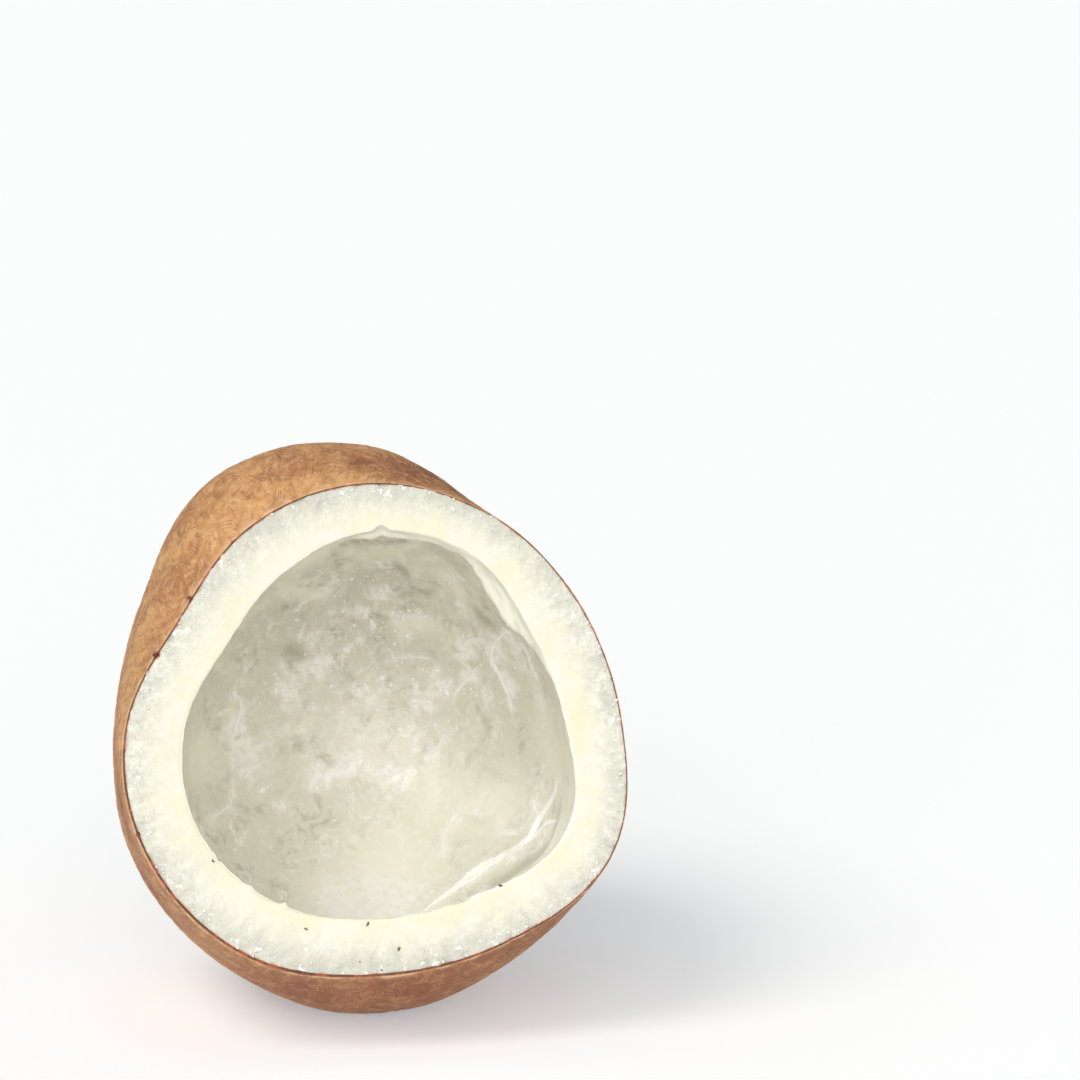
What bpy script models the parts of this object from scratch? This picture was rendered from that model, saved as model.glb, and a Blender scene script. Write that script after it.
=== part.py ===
"""A coconut kernel, sawn open: thin brown skin on thick white flesh, round an empty hollow.

Metres, +Z up. The kernel stands on a small flat spot whose middle is the origin. A slice is sawn off its
front, so the cut face looks along -Y, turned a little to the right and tilted a little up.
"""

import math

import bmesh
import bpy
import numpy as np

MM = 0.001

# The next three are read round the cut face like a clock seen from the front, a value for each hour,
# from 3 o'clock back through 12, 9 and 6 to 4 o'clock.
# Distance from the middle of the cut to the outside of the skin.
CUT_RADIUS_MM = (50.1, 48.2, 48.8, 49.2, 47.4, 44.8, 49.8, 52.4, 52.7, 50.2, 51.2, 54.6)
# How much further out the kernel swells behind the cut.
SWELL_MM = (1.5, 1.5, 0.4, 7.3, 11.2, 7.4, 1.8, 3.4, 6.8, 12.2, 8.8, 2.4)
# Thickness of the whole wall, skin and flesh, at the cut.
WALL_MM = (11.2, 11.4, 9.0, 10.0, 11.8, 11.0, 12.0, 11.8, 12.8, 12.0, 11.6, 10.4)

SKIN_MM = 0.9
LAYER_GAP_MM = 0.35

# Depths are measured straight back from the cut, along its normal.
DEPTH_MM = 86.0
GIRTH_DEPTH_MM = 34.0
GIRTH_LEAN_MM = 9.0  # the widest section is this much nearer the cut at the top, and deeper at the bottom
SLICE_MM = 20.0  # how far the whole kernel reached in front of the cut

# Towards the far end the kernel grows rounder, with this radius, and faintly three-sided.
FAR_RADIUS_MM = 53.0
FAR_WALL_MM = 11.0
LOBE_DEPTH = 0.02
LOBE_TURN = math.radians(95)
DENT_MM = 0.4  # gentle unevenness of the whole surface

CUT_YAW = math.radians(6)
CUT_TILT = math.radians(10)
CUT_CENTRE_MM = np.array([2.7, -34.9, 65.8])

# The cut runs midway between two of the rings of points that the surface is made of.
SEGMENTS = 48
RINGS = 30
RINGS_IN_SLICE = 8.5
CUT_POLAR = math.pi * RINGS_IN_SLICE / RINGS

SKIN_COLOUR = (0.36, 0.17, 0.08)
FLESH_COLOUR = (0.86, 0.83, 0.70)

# The cut face's own axes: right and up across it, and outwards along its normal.
OUTWARD = np.array(
    [
        math.sin(CUT_YAW) * math.cos(CUT_TILT),
        -math.cos(CUT_YAW) * math.cos(CUT_TILT),
        math.sin(CUT_TILT),
    ]
)
ACROSS = np.array([math.cos(CUT_YAW), math.sin(CUT_YAW), 0.0])
UPWARD = np.cross(OUTWARD, ACROSS)


def round_the_clock(table, turn):
    """A smooth closed curve through a table's values; turn is in radians, counter-clockwise from 3 o'clock."""
    place = turn / math.tau * len(table)
    hour = math.floor(place)
    part = place - hour
    before, here, after, beyond = (table[(hour + step) % len(table)] for step in (-1, 0, 1, 2))
    slope = after - before
    curve = 2 * before - 5 * here + 4 * after - beyond
    twist = 3 * (here - after) + beyond - before
    return here + 0.5 * part * (slope + part * (curve + part * twist))


def unevenness(polar, turn):
    """Gentle dents and swellings, from -1 to 1, that die out at both ends of the kernel."""
    waves = math.sin(2 * turn + 3.1 * polar) + math.sin(5 * turn - 2.3 * polar) + math.sin(4 * polar - turn)
    return waves / 3 * math.sin(polar) ** 2


def farness(polar):
    """0 on the front half of the kernel, growing to 1 at its far end."""
    return math.cos(polar) ** 2 if polar > math.pi / 2 else 0.0


def kernel_point(polar, turn, inset):
    """A point in mm of the egg-shaped surface that lies inset inside the skin's outside.

    polar runs from 0 at the front end to pi at the far end, and turn goes round the cut's normal.
    """
    girth_depth = GIRTH_DEPTH_MM - GIRTH_LEAN_MM * math.sin(turn)
    at_cut = round_the_clock(CUT_RADIUS_MM, turn) + DENT_MM * unevenness(polar, turn)
    swell = round_the_clock(SWELL_MM, turn)
    if polar < math.pi / 2:
        nearness = math.cos(polar) / math.cos(CUT_POLAR)
        depth = girth_depth * (1 - nearness)
        closing = 1.0
        if polar < CUT_POLAR:
            reach = (nearness - 1) / (1 / math.cos(CUT_POLAR) - 1)
            depth = -(SLICE_MM - inset) * reach
            closing = math.sqrt(1 - reach**2)
        rise = depth / girth_depth
        radius = (at_cut + swell * rise * (2 - rise) - inset) * closing
    else:
        far = farness(polar)
        lobed = FAR_RADIUS_MM * (1 + LOBE_DEPTH * math.cos(3 * (turn - LOBE_TURN)))
        radius = ((1 - far) * (at_cut + swell) + far * lobed - inset) * math.sin(polar)
        depth = girth_depth - (DEPTH_MM - inset - girth_depth) * math.cos(polar)
    sideways = radius * (math.cos(turn) * ACROSS + math.sin(turn) * UPWARD)
    return CUT_CENTRE_MM + sideways - depth * OUTWARD


def wall(polar, turn):
    """Thickness of the whole wall in mm."""
    return (1 - farness(polar)) * round_the_clock(WALL_MM, turn) + farness(polar) * FAR_WALL_MM


def egg(name, inset_at, collection):
    """A closed egg shape, pressed flat underneath; inset_at gives its inset in mm for a polar and a turn."""
    shape = bmesh.new()
    bmesh.ops.create_uvsphere(shape, u_segments=SEGMENTS, v_segments=RINGS, radius=1.0)
    for vertex in shape.verts:
        polar = math.acos(max(-1.0, min(1.0, vertex.co.z)))
        turn = math.atan2(vertex.co.y, vertex.co.x) % math.tau
        inset = inset_at(polar, turn)
        x, y, z = kernel_point(polar, turn, inset) * MM
        vertex.co = (x, y, max(z, inset * MM))
    mesh = bpy.data.meshes.new(name)
    shape.to_mesh(mesh)
    shape.free()
    mesh.shade_smooth()
    made = bpy.data.objects.new(name, mesh)
    collection.objects.link(made)
    return made


def saw_block(collection):
    """The block in front of the cut: what a saw takes off, with room to spare."""
    bpy.ops.mesh.primitive_cube_add(size=1.0)
    block = bpy.context.object
    block.name = "saw_block"
    width = 4 * max(CUT_RADIUS_MM) * MM
    rows = (ACROSS * width, UPWARD * width, OUTWARD * width)
    place = CUT_CENTRE_MM * MM + OUTWARD * width / 2
    for vertex in block.data.vertices:
        vertex.co = place + sum(row * step for row, step in zip(rows, vertex.co))
    move_to(block, collection)
    return block


def move_to(made, collection):
    for holder in list(made.users_collection):
        holder.objects.unlink(made)
    collection.objects.link(made)


def hide_cutter(cutter):
    cutter.hide_render = True
    cutter.display_type = "WIRE"


def cut(made, cutter):
    modifier = made.modifiers.new("cut_by_" + cutter.name, "BOOLEAN")
    modifier.operation = "DIFFERENCE"
    modifier.solver = "EXACT"
    modifier.object = cutter


def paint(made, name, colour, roughness):
    material = bpy.data.materials.new(name)
    material.use_nodes = True
    shader = material.node_tree.nodes["Principled BSDF"]
    shader.inputs["Base Color"].default_value = (*colour, 1.0)
    shader.inputs["Roughness"].default_value = roughness
    shader.inputs["Metallic"].default_value = 0.0
    made.data.materials.append(material)


def new_collection(name):
    collection = bpy.data.collections.new(name)
    bpy.context.scene.collection.children.link(collection)
    return collection


def brown_skin(parts, cutters, block):
    """The thin papery skin, a shell that ends at the cut."""
    skin = egg("brown_skin", lambda polar, turn: 0.0, parts)
    inside = egg("skin_inside", lambda polar, turn: SKIN_MM, cutters)
    cut(skin, inside)
    cut(skin, block)
    paint(skin, "brown_skin", SKIN_COLOUR, 0.75)
    hide_cutter(inside)


def white_flesh(parts, cutters, block):
    """The thick white wall inside the skin, open at the cut."""
    flesh = egg("white_flesh", lambda polar, turn: SKIN_MM + LAYER_GAP_MM, parts)
    hollow = egg("hollow", wall, cutters)
    cut(flesh, hollow)
    cut(flesh, block)
    paint(flesh, "white_flesh", FLESH_COLOUR, 0.45)
    hide_cutter(hollow)


def main():
    for old in list(bpy.data.objects):
        bpy.data.objects.remove(old, do_unlink=True)
    parts = new_collection("coconut")
    cutters = new_collection("cutters")
    block = saw_block(cutters)
    brown_skin(parts, cutters, block)
    white_flesh(parts, cutters, block)
    hide_cutter(block)


main()
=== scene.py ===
"""The looks of a cut coconut kernel: brown skin with vein marks and fibres, white flesh, moist hollow."""

import math
import random

import bpy
import numpy as np
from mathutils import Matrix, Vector
from mathutils.bvhtree import BVHTree


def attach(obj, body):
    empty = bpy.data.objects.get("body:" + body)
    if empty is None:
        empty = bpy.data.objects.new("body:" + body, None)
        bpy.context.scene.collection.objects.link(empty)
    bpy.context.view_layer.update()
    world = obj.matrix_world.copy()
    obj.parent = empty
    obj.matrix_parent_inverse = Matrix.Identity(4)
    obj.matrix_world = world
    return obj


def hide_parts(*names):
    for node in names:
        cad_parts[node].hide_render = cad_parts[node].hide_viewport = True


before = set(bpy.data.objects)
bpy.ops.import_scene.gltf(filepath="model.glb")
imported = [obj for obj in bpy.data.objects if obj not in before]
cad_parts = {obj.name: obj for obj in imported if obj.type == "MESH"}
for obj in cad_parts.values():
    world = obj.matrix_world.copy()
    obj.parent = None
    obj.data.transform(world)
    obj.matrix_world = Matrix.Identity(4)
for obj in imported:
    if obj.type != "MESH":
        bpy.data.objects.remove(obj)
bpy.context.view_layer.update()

MM = 0.001

# The kernel's form, as in the construction, in mm. These are read round the cut face like a clock seen
# from the front, a value for each hour, from 3 o'clock back through 12, 9 and 6 to 4 o'clock.
CUT_RADIUS = (50.1, 48.2, 48.8, 49.2, 47.4, 44.8, 49.8, 52.4, 52.7, 50.2, 51.2, 54.6)
SWELL = (1.5, 1.5, 0.4, 7.3, 11.2, 7.4, 1.8, 3.4, 6.8, 12.2, 8.8, 2.4)
WALL = (11.2, 11.4, 9.0, 10.0, 11.8, 11.0, 12.0, 11.8, 12.8, 12.0, 11.6, 10.4)
# Thickness of the skin where the cut shows it, and everywhere else.
SKIN_AT_CUT = (0.30, 0.28, 0.32, 0.45, 0.55, 0.50, 0.55, 0.75, 0.85, 0.75, 0.55, 0.35)
SKIN = 0.9
SKIN_THINNING = 6.0  # the skin comes to its full thickness over about this depth behind the cut

# Depths are measured straight back from the cut.
DEPTH = 86.0
GIRTH_DEPTH = 34.0
GIRTH_LEAN = 9.0  # the widest section is this much nearer the cut at the top, and deeper at the bottom
# Towards its far end the kernel grows rounder, and faintly three-sided.
FAR_RADIUS = 53.0
FAR_WALL = 11.0
LOBE_DEPTH = 0.02
LOBE_TURN = math.radians(95)
DENT = 0.4  # gentle unevenness of the whole surface
CUT_POLAR = math.radians(51)  # where the cut lies on the way from the sawn-off end, 0, to the far end, pi
CUT_YAW = math.radians(6)
CUT_TILT = math.radians(10)
CUT_CENTRE = np.array([2.7, -34.9, 65.8])
OUTWARD = np.array(
    [math.sin(CUT_YAW) * math.cos(CUT_TILT), -math.cos(CUT_YAW) * math.cos(CUT_TILT), math.sin(CUT_TILT)]
)
ACROSS = np.array([math.cos(CUT_YAW), math.sin(CUT_YAW), 0.0])
UPWARD = np.cross(OUTWARD, ACROSS)

# The camera, and where things show in the photograph, in its own pixels.
PHOTO_SIDE = 1080
CUT_CENTRE_PIXEL = (374, 728)
CAMERA_ELEVATION = math.radians(12)
CAMERA_DISTANCE = 900.0  # from the middle of the cut, in mm
CAMERA_LENS = 150.0
SENSOR = 36.0
CAMERA_REACH = 20.0  # how far the camera sees, in metres

# How finely the pieces are divided: round the cut, from the cut to the far end, and across the sawn edges.
SEGMENTS = 600
SKIN_RINGS = 140
FLESH_RINGS = 122
HIDDEN_RINGS = 10
FACE_CUTS = 26
EDGE_CUTS = 2
RING_CROWDING = 1.2  # above 1, the rings crowd towards the cut
WELD = 1e-6  # points closer than this, in metres, are merged

# A ledge inside the mouth narrows the hollow: turn in degrees from 3 o'clock, and width in mm.
LEDGE = (
    (0, 0.3), (12, 0.3), (21, 0.8), (30, 2.0), (37, 3.4), (46, 3.7), (54, 2.4), (62, 1.2), (75, 1.4),
    (83, 2.2), (90, 2.5), (97, 1.5), (105, 0.8), (115, 0.4), (130, 0.15), (180, 0.1), (250, 0.1),
    (285, 0.3), (330, 0.4),
)
LEDGE_FADE = 9.0  # the wall comes back out behind the ledge over about this depth, in mm

# Notches in the mouth's edge (negative ones are flakes that stand into the hollow) and in the skin's edge:
# turn in degrees, depth and half width in mm.
MOUTH_NICKS = ((87, 1.3, 1.2), (242, -0.9, 0.7), (219, 0.5, 0.5), (231, -0.35, 0.8), (305, 0.3, 1.0))
SKIN_NICKS = ((160, 0.8, 0.6), (143.5, 0.7, 0.5), (126, 0.35, 0.5), (203, 0.3, 0.5), (252, 0.3, 0.6))

# Raised white seams on the hollow's wall: half width in mm, then the photograph's pixels that they follow.
SEAMS = (
    (0.62, ((559, 780), (552, 800), (540, 817), (530, 837), (517, 848), (500, 857), (485, 863), (470, 874),
            (455, 888), (441, 897), (425, 910), (410, 918))),
    (0.32, ((500, 859), (488, 868), (474, 879), (462, 885))),
    (0.42, ((517, 849), (528, 843), (537, 836), (547, 825), (557, 820))),
    (0.20, ((533, 798), (535, 810), (540, 818))),
    (0.30, ((330, 777), (340, 765), (350, 760), (363, 758))),
    (0.30, ((383, 783), (392, 775), (408, 768))),
    (0.22, ((402, 787), (406, 778), (410, 770))),
    (0.30, ((423, 757), (432, 752), (440, 745), (447, 733))),
    (0.18, ((233, 783), (232, 795), (230, 806), (221, 812), (213, 817))),
    (0.32, ((231, 741), (234, 731), (238, 719), (242, 708), (240, 700), (233, 694))),
    (0.40, ((506, 630), (499, 638), (493, 648), (492, 662), (499, 671), (504, 681), (510, 697), (512, 713))),
    (0.30, ((461, 648), (466, 642), (472, 638), (482, 641), (491, 646))),
    (0.22, ((519, 640), (527, 652), (532, 668), (540, 684))),
    (0.16, ((392, 658), (405, 657), (420, 657), (432, 660))),
    (0.19, ((477, 670), (468, 678), (460, 686), (453, 695))),
    (0.17, ((411, 616), (420, 616), (430, 616))),
    (0.15, ((300, 637), (306, 638), (311, 636))),
    (0.18, ((281, 660), (283, 667), (285, 673))),
    (0.12, ((280, 801), (283, 804), (286, 808))),
    (0.12, ((275, 803), (278, 807), (281, 811))),
    (0.14, ((455, 814), (453, 818), (450, 822))),
    (0.14, ((444, 836), (442, 846), (443, 856))),
)
SEAM_GIRTH = 1.6  # how much wider the seams are than their table gives
SEAM_STRIDE = 6.0  # a seam ends where its next point would be further than this, in mm
# Sunken folds of the hollow's wall, painted with shade along them: depth and half width in mm, then pixels.
FOLDS = (
    (0.80, 2.1, ((558, 812), (548, 842), (524, 862), (494, 882), (462, 902))),
    (0.45, 0.5, ((340, 546), (365, 541), (386, 543), (405, 541))),
    (0.35, 1.6, ((290, 650), (300, 655))),
    (0.35, 1.4, ((478, 617), (488, 622))),
    (0.30, 1.4, ((398, 566), (404, 572))),
)
# Frosted places of the hollow's wall: pixel, and reach in mm.
FROST = (
    ((247, 753), 4.2), ((238, 724), 2.4), ((514, 645), 3.0), ((540, 700), 2.6), ((466, 652), 2.4),
    ((440, 686), 2.4), ((380, 593), 2.2), ((360, 612), 1.8), ((492, 648), 3.2),
    ((508, 684), 2.4), ((316, 668), 2.6), ((290, 690), 2.6), ((345, 768), 2.2), ((395, 776), 2.2),
    ((425, 702), 2.4), ((338, 903), 5.0), ((318, 777), 2.4), ((470, 675), 2.0), ((540, 812), 1.8),
    ((390, 905), 5.5), ((372, 890), 3.5),
)
# Where the wall is smoothest and creamiest, and painted lighter: partly its own colour, partly painted
# light.
CREAMY_AND_LIT = (((390, 865), 19.0), ((440, 800), 15.0), ((350, 912), 20.0), ((500, 800), 11.0),
          ((552, 735), 13.0), ((200, 760), 9.0), ((355, 930), 9.0))
# Small white blisters: the pixels of the largest, then where the others gather, their spread and number.
BLISTERS = (
    (331, 657), (316, 667), (304, 669), (276, 691), (288, 691), (234, 694), (382, 678), (314, 708),
    (342, 712), (373, 625), (392, 613), (372, 623), (437, 671), (449, 682), (446, 692), (414, 702),
    (432, 695), (434, 725), (403, 618), (407, 636), (262, 790), (247, 776), (368, 767), (318, 765),
    (317, 787), (360, 640), (346, 650),
)
BLISTER_REACH = 0.9  # how far a large blister's frost spreads, in mm
BLISTER_GROUPS = (
    ((370, 620), 30, 45), ((310, 675), 28, 34), ((430, 685), 26, 36), ((350, 735), 55, 24),
    ((500, 660), 20, 18), ((300, 790), 45, 12),
)
# Dark specks on the sawn face: pixel, and half length in mm.
SPECKS = (
    ((306, 929), 0.42), ((368, 924), 0.50), ((399, 949), 0.55), ((425, 970), 0.42), ((382, 970), 0.30),
    ((501, 886), 0.55), ((213, 861), 0.40), ((360, 962), 0.25),
)
# Places where the skin is redder and darker: partly its own colour, partly painted shade low down, at the
# left edge and at the top's right end. Pixel, and reach in mm.
RUDDY_AND_SHADED = (((408, 470), 8.0), ((360, 462), 4.0), ((300, 990), 20.0), ((420, 985), 24.0), ((520, 940), 20.0),
         ((112, 690), 8.0), ((112, 745), 11.0), ((122, 810), 10.0), ((150, 885), 8.0), ((440, 480), 9.0))


def round_the_clock(table, turn):
    """A smooth closed curve through a table's values; turn is in radians, from 3 o'clock through 12."""
    spot = (turn / math.tau * len(table)) % len(table)
    hour = np.floor(spot).astype(int)
    part = spot - hour
    before, here, after, beyond = (np.array(table)[(hour + step) % len(table)] for step in (-1, 0, 1, 2))
    slope = after - before
    curve = 2 * before - 5 * here + 4 * after - beyond
    twist = 3 * (here - after) + beyond - before
    return here + 0.5 * part * (slope + part * (curve + part * twist))


def unevenness(polar, turn):
    """Gentle dents and swellings, from -1 to 1, that die out at both ends of the kernel."""
    waves = np.sin(2 * turn + 3.1 * polar) + np.sin(5 * turn - 2.3 * polar) + np.sin(4 * polar - turn)
    return waves / 3 * np.sin(polar) ** 2


def farness(polar):
    """0 on the front half of the kernel, growing to 1 at its far end."""
    return np.where(polar > math.pi / 2, np.cos(polar) ** 2, 0.0)


def rim_radius(turn):
    return round_the_clock(CUT_RADIUS, turn) + DENT * unevenness(CUT_POLAR, turn)


def kernel_points(polar, turn, inset):
    """Points in mm of the egg shape that lies inset inside the skin's outside, behind the cut."""
    girth_depth = GIRTH_DEPTH - GIRTH_LEAN * np.sin(turn)
    at_cut = round_the_clock(CUT_RADIUS, turn) + DENT * unevenness(polar, turn)
    swell = round_the_clock(SWELL, turn)
    rise = 1 - np.cos(polar) / math.cos(CUT_POLAR)
    far = farness(polar)
    lobed = FAR_RADIUS * (1 + LOBE_DEPTH * np.cos(3 * (turn - LOBE_TURN)))
    front = polar < math.pi / 2
    radius = np.where(
        front,
        at_cut + swell * rise * (2 - rise) - inset,
        ((1 - far) * (at_cut + swell) + far * lobed - inset) * np.sin(polar),
    )
    depth = np.where(front, girth_depth * rise, girth_depth - (DEPTH - inset - girth_depth) * np.cos(polar))
    return CUT_CENTRE + radius[:, None] * radial_direction(turn) - np.outer(depth, OUTWARD)


def radial_direction(turn):
    return np.outer(np.cos(turn), ACROSS) + np.outer(np.sin(turn), UPWARD)


def cut_coordinates(points):
    """Depth behind the cut, distance from its axis and turn round it, for points in mm."""
    offset = points - CUT_CENTRE
    depth = -offset @ OUTWARD
    right, up = offset @ ACROSS, offset @ UPWARD
    return depth, np.hypot(right, up), np.arctan2(up, right) % math.tau


def skin_at_depth(depth, turn):
    """Thickness of the skin in mm: thinner at the cut, full a little behind it."""
    return SKIN + (round_the_clock(SKIN_AT_CUT, turn) - SKIN) * np.exp(-depth / SKIN_THINNING)


def skin_thickness(polar, turn):
    depth = (1 - np.cos(polar) / math.cos(CUT_POLAR)) * GIRTH_DEPTH
    return skin_at_depth(np.maximum(depth, 0.0), turn)


def wall_thickness(polar, turn):
    """Thickness of skin and flesh together in mm."""
    far = farness(polar)
    return (1 - far) * round_the_clock(WALL, turn) + far * FAR_WALL


# The noise's own grid: a random slope for each point, picked through a shuffled list.
LATTICE = 1024
SEED_STEP = 31.7  # how far apart two seeds read the grid
NOISE_GAIN = 1.5
slopes = np.random.default_rng(11).normal(size=(LATTICE, 3))
slopes /= np.linalg.norm(slopes, axis=1)[:, None]
shuffled = np.random.default_rng(12).permutation(LATTICE)


def noise_at(points, size, seed=0):
    """Smooth noise from about -1 to 1, with lumps of the given size in mm."""
    spot = points / size + SEED_STEP * seed
    cell = np.floor(spot).astype(int)
    part = spot - cell
    ease = part**3 * (part * (6 * part - 15) + 10)
    total = np.zeros(len(points))
    for corner in np.ndindex(2, 2, 2):
        x, y, z = ((cell + corner) % LATTICE).T
        slope = slopes[shuffled[(shuffled[(shuffled[x] + y) % LATTICE] + z) % LATTICE]]
        share = np.prod(np.where(corner, ease, 1 - ease), axis=1)
        total += share * np.sum(slope * (part - corner), axis=1)
    return NOISE_GAIN * total


def rough_at(points, size, octaves, seed=0):
    """Noise with finer and weaker noise on it, each octave half the size of the one before."""
    return sum(noise_at(points, size / 2**step, seed + step) / 2**step for step in range(octaves))


def wander_at(points, size, seed):
    """A smoothly changing direction, to bend a pattern with."""
    return np.stack([noise_at(points, size, seed + step) for step in range(3)], axis=1)


def step_up(values, low, high):
    """A smooth step from 0 at low to 1 at high."""
    share = np.clip((values - low) / (high - low), 0, 1)
    return share * share * (3 - 2 * share)


def thin_lines(values, width):
    """1 along the zero lines of a noise, falling to 0 at width either side."""
    return step_up(-np.abs(values), -width, 0)


def bells(turn, radius, nicks):
    """The sum of small notches round an edge, each given by its turn, its depth and its half width."""
    total = np.zeros(len(turn))
    for degrees, size, half_width in nicks:
        away = (turn - math.radians(degrees) + math.pi) % math.tau - math.pi
        total += size * np.exp(-((away * radius / half_width) ** 2))
    return total


def distance_to_path(points, path):
    """Distance in mm from each point to a path through the given points."""
    best = np.full(len(points), np.inf)
    for start, end in zip(path[:-1], path[1:]):
        along = end - start
        share = np.clip((points - start) @ along / (along @ along), 0, 1)
        best = np.minimum(best, np.linalg.norm(points - start - np.outer(share, along), axis=1))
    return best


def nearness(points, tree, places):
    """1 at the given places of a surface, dying away over their reach."""
    total = np.zeros(len(points))
    for pixel, reach in places:
        for centre in seen_points(tree, [pixel]):
            total = np.maximum(total, np.exp(-(np.linalg.norm(points - centre, axis=1) / reach) ** 2))
    return total


camera_back = np.array([0, -math.cos(CAMERA_ELEVATION), math.sin(CAMERA_ELEVATION)])
camera_up = np.array([0, math.sin(CAMERA_ELEVATION), math.cos(CAMERA_ELEVATION)])
camera_right = np.array([1.0, 0.0, 0.0])
pixels_per_slope = CAMERA_LENS / SENSOR * PHOTO_SIDE


def pixel_slopes(pixel):
    """How far right and up of the picture's middle a pixel of the photograph lies, per unit of distance."""
    return (pixel[0] - PHOTO_SIDE / 2) / pixels_per_slope, (PHOTO_SIDE / 2 - pixel[1]) / pixels_per_slope


right_slope, up_slope = pixel_slopes(CUT_CENTRE_PIXEL)
to_camera = camera_back - camera_right * right_slope - camera_up * up_slope
camera_place = CUT_CENTRE + CAMERA_DISTANCE * to_camera


def seen_at(tree, pixel):
    """Where the camera's line through a pixel meets a surface, in metres, and the normal there."""
    right, up = pixel_slopes(pixel)
    direction = -camera_back + camera_right * right + camera_up * up
    return tree.ray_cast(Vector(camera_place * MM), Vector(direction).normalized())[:2]


def seen_points(tree, pixels):
    """The places on a surface, in mm, that the given pixels show."""
    hits = (seen_at(tree, pixel)[0] for pixel in pixels)
    return [np.array(hit) / MM for hit in hits if hit is not None]


def surface_tree(piece):
    bpy.context.view_layer.update()
    return BVHTree.FromObject(piece, bpy.context.evaluated_depsgraph_get())


def add_camera():
    data = bpy.data.cameras.new("camera")
    data.lens = CAMERA_LENS
    data.sensor_width = SENSOR
    data.clip_end = CAMERA_REACH
    camera = bpy.data.objects.new("camera", data)
    camera.location = camera_place * MM
    camera.rotation_euler = (math.pi / 2 - CAMERA_ELEVATION, 0, 0)
    bpy.context.scene.collection.objects.link(camera)
    bpy.context.scene.camera = camera


def only(piece):
    """Selects one piece alone and makes it the active one."""
    bpy.ops.object.select_all(action="DESELECT")
    piece.select_set(True)
    bpy.context.view_layer.objects.active = piece


def vectors_of(items, name):
    flat = np.empty(3 * len(items))
    items.foreach_get(name, flat)
    return flat.reshape(-1, 3)


def points_of(piece):
    """A piece's points in mm."""
    return vectors_of(piece.data.vertices, "co") / MM


def normals_of(piece):
    return vectors_of(piece.data.vertex_normals, "vector")


def move_points(piece, points):
    piece.data.vertices.foreach_set("co", (points * MM).ravel())
    piece.data.update()


def store(piece, name, values):
    """Keeps a value, or a vector, for each point of a piece, for its material to read."""
    kind = "FLOAT_VECTOR" if values.ndim == 2 else "FLOAT"
    kept = piece.data.attributes.new(name, kind, "POINT")
    kept.data.foreach_set("vector" if values.ndim == 2 else "value", values.astype(np.float32).ravel())


def smooth(piece, degrees=50):
    only(piece)
    bpy.ops.object.shade_smooth_by_angle(angle=math.radians(degrees))


def dress(piece, material, node=None):
    """Gives a piece its material and its place on the frame."""
    piece.data.materials.append(material)
    if node:
        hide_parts(node)
    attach(piece, "root")


def half_shell(name, rings, inset_at, inward=False):
    """The part of an egg shape behind the cut: a grid rolled up on the egg, its seam and pole merged."""
    bpy.ops.mesh.primitive_grid_add(x_subdivisions=SEGMENTS, y_subdivisions=rings, size=1.0)
    shell = bpy.context.object
    shell.name = name
    sheet = np.clip(points_of(shell) * MM + 0.5, 0, 1)
    turn = math.tau * (1 - sheet[:, 0])
    polar = CUT_POLAR + (math.pi - CUT_POLAR) * sheet[:, 1] ** RING_CROWDING
    inset = inset_at(polar, turn)
    points = kernel_points(polar, turn, inset)
    points[:, 2] = np.maximum(points[:, 2], inset)
    move_points(shell, points)
    bpy.ops.object.mode_set(mode="EDIT")
    bpy.ops.mesh.select_all(action="SELECT")
    bpy.ops.mesh.remove_doubles(threshold=WELD)
    if inward:
        bpy.ops.mesh.flip_normals()
    bpy.ops.object.mode_set(mode="OBJECT")
    return shell


def cup(name, outer_rings, outer_inset, inner_rings, inner_inset, cuts):
    """A closed wall between two egg shapes, with the sawn face bridged between their edges."""
    outer = half_shell(name, outer_rings, outer_inset)
    inner = half_shell(name + "_inside", inner_rings, inner_inset, inward=True)
    outer_count = len(outer.data.vertices)
    inner_count = len(inner.data.vertices)
    only(outer)
    inner.select_set(True)
    bpy.ops.object.join()
    bpy.ops.object.mode_set(mode="EDIT")
    bpy.ops.mesh.select_mode(type="EDGE")
    bpy.ops.mesh.select_all(action="DESELECT")
    bpy.ops.mesh.select_non_manifold()
    bpy.ops.mesh.bridge_edge_loops(number_cuts=cuts, interpolation="LINEAR")
    bpy.ops.mesh.select_mode(type="VERT")
    bpy.ops.object.mode_set(mode="OBJECT")
    index = np.arange(len(outer.data.vertices))
    return outer, index < outer_count, (index >= outer_count) & (index < outer_count + inner_count)


# The skin's relief, in mm: sizes of the patterns, and how far they rise or sink.
SKIN_SWIRL = 17.0
SKIN_LUMPS = 13.0
SKIN_LUMP_HEIGHT = 0.20
VEIN_SPACING = 6.0
WRINKLE_SPACING = 3.4
WRINKLED_PATCHES = 21.0
SKIN_PITS = 2.4
SKIN_PIT_HEIGHT = 0.05
MARK_DEPTH = 0.14
LOWEST_SKIN, HIGHEST_SKIN = -0.3, 0.25
GRAIN_STRETCH = 0.4  # below 1, marks are drawn out from end to end
# The skin's torn edge, in mm: how far it stays behind the flesh, and over what depth that dies away.
TEAR = 0.13
DEEPEST_TEAR = 1.2
TEAR_REACH = 0.9
NICKED_DEPTH = 1.0
# The paler rim by the cut is partly wear and partly a painted highlight; it dies away over this depth.
WORN_AND_HIGHLIT_REACH = 0.5


def grain_coordinates(points):
    """Coordinates in mm that are drawn out along the kernel, so marks run from end to end."""
    depth, radius, turn = cut_coordinates(points)
    length = np.arctan2(depth - GIRTH_DEPTH, radius) * FAR_RADIUS
    return np.stack([radius * np.cos(turn), radius * np.sin(turn), GRAIN_STRETCH * length], axis=1)


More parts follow.
